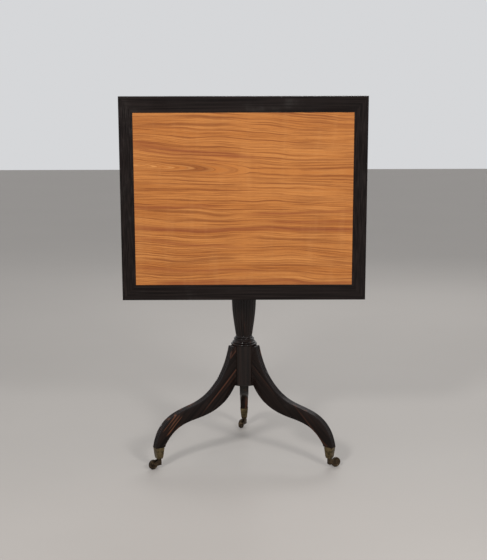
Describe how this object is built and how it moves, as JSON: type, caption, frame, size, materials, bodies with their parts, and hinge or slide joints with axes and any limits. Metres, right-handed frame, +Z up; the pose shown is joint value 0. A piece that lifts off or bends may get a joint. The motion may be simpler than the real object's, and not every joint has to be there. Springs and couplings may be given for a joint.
{
  "type": "tilt top table",
  "caption": "Tilt top occasional table: rectangular figured veneer top with a dark border, tipping up on a block over a turned reeded column, on downswept legs with brass casters.",
  "frame": {"origin": "on the floor, at the middle of the table's outline seen from above, with the top tipped up", "axes": "+Z up; +X to the right of someone who faces the tipped-up top; +Y away from them, over the rear leg"},
  "size_m": [0.686, 0.4609, 1.0538],
  "materials": {
    "figured_veneer": "french polished, orange-brown, horizontal figure",
    "dark_border": "polished near-black veneer",
    "dark_wood": "polished dark wood with reddish streaks",
    "underside_wood": "plain dark stained board, matt",
    "brass": "dull, tarnished",
    "iron": "blackened"
  },
  "bodies": {
    "base": {"pivot_block": "dark_wood", "pivot_pin_left": "brass", "pivot_pin_right": "brass", "strike_plate": "brass", "strike_screws": "brass", "column": "dark_wood", "tenon_wedge": "dark_wood", "leg_left": "dark_wood", "leg_right": "dark_wood", "leg_rear": "dark_wood", "spider_plate": "iron", "spider_screws": "iron", "toe_cup_left": "brass", "toe_cup_right": "brass", "toe_cup_rear": "brass"},
    "top": {"core_board": "underside_wood", "panel_veneer": "figured_veneer", "border_front": "dark_border", "border_right": "dark_border", "border_back": "dark_border", "border_left": "dark_border", "edge_front": "dark_border", "edge_right": "dark_border", "edge_back": "dark_border", "edge_left": "dark_border", "bearer_left": "underside_wood", "bearer_right": "underside_wood", "bearer_screws": "iron", "bolt_plate": "brass", "bolt_plate_screws": "brass"},
    "bolt": {"latch_bolt": "brass", "latch_knob": "brass"},
    "caster_left": {"caster_horn_left": "brass", "swivel_pin_left": "brass", "axle_left": "brass"},
    "wheel_left": {"wheel_left": "brass"},
    "caster_right": {"caster_horn_right": "brass", "swivel_pin_right": "brass", "axle_right": "brass"},
    "wheel_right": {"wheel_right": "brass"},
    "caster_rear": {"caster_horn_rear": "brass", "swivel_pin_rear": "brass", "axle_rear": "brass"},
    "wheel_rear": {"wheel_rear": "brass"}
  },
  "joints": [
    {"name": "top_tilt", "type": "hinge", "parent": "base", "child": "top", "pos_m": [0, -0.15117, 0.6847], "axis": [1, 0, 0], "range_deg": [-93, 0]},
    {"name": "bolt_throw", "type": "slide", "parent": "top", "child": "bolt", "axis": [0, 0.0523, -0.9986], "range_m": [0, 0.009]},
    {"name": "swivel_left", "type": "hinge", "parent": "base", "child": "caster_left", "pos_m": [-0.24422, -0.20717, 0.028], "axis": [0, 0, 1], "continuous": true},
    {"name": "roll_left", "type": "hinge", "parent": "caster_left", "child": "wheel_left", "pos_m": [-0.26019, -0.21921, 0.014], "axis": [0.6018, -0.7986, 0], "continuous": true},
    {"name": "swivel_right", "type": "hinge", "parent": "base", "child": "caster_right", "pos_m": [0.24422, -0.20717, 0.028], "axis": [0, 0, 1], "continuous": true},
    {"name": "roll_right", "type": "hinge", "parent": "caster_right", "child": "wheel_right", "pos_m": [0.26234, -0.19872, 0.014], "axis": [-0.4226, 0.9063, 0], "continuous": true},
    {"name": "swivel_rear", "type": "hinge", "parent": "base", "child": "caster_rear", "pos_m": [0, 0.21583, 0.028], "axis": [0, 0, 1], "continuous": true},
    {"name": "roll_rear", "type": "hinge", "parent": "caster_rear", "child": "wheel_rear", "pos_m": [-0.00939, 0.19817, 0.014], "axis": [0.8829, -0.4695, 0], "continuous": true}
  ]
}
